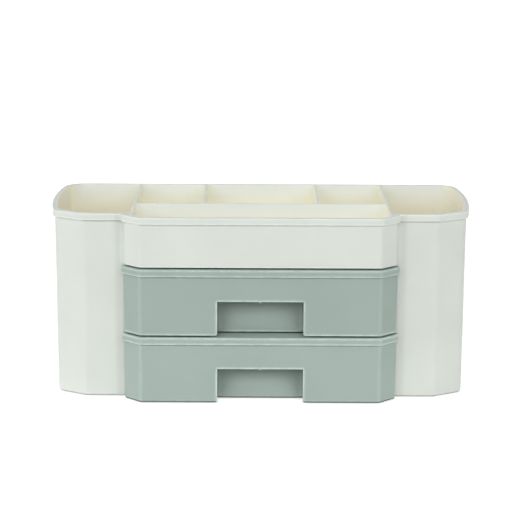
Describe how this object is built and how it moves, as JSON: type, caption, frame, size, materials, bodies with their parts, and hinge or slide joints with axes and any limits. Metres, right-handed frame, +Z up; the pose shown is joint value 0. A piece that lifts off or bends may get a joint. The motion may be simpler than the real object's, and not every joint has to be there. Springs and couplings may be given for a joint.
{
  "type": "desk organizer with drawers",
  "caption": "Desk organizer with deep side bins for pens, a divided top tray with a chamfered front, and stacked pull-out drawers with finger notches.",
  "frame": {"origin": "on the desk top, at the middle of the whole outline", "axes": "+X to the right as the drawers are faced, +Y to the back, +Z up; the drawers pull out along -Y"},
  "size_m": [0.28, 0.1266, 0.1236],
  "materials": {
    "body_plastic": "satin moulded",
    "drawer_plastic": "satin moulded",
    "rail_plastic": "satin moulded",
    "pad_rubber": "soft matt"
  },
  "bodies": {
    "body": {"body": "body_plastic", "upper_left_rail": "rail_plastic", "upper_right_rail": "rail_plastic", "lower_left_rail": "rail_plastic", "lower_right_rail": "rail_plastic", "front_left_pad": "pad_rubber", "front_right_pad": "pad_rubber", "rear_left_pad": "pad_rubber", "rear_right_pad": "pad_rubber"},
    "upper_drawer": {"upper_drawer": "drawer_plastic"},
    "lower_drawer": {"lower_drawer": "drawer_plastic"}
  },
  "joints": [
    {"name": "upper_drawer_slide", "type": "slide", "parent": "body", "child": "upper_drawer", "axis": [0, -1, 0], "range_m": [0, 0.08]},
    {"name": "lower_drawer_slide", "type": "slide", "parent": "body", "child": "lower_drawer", "axis": [0, -1, 0], "range_m": [0, 0.08]}
  ]
}
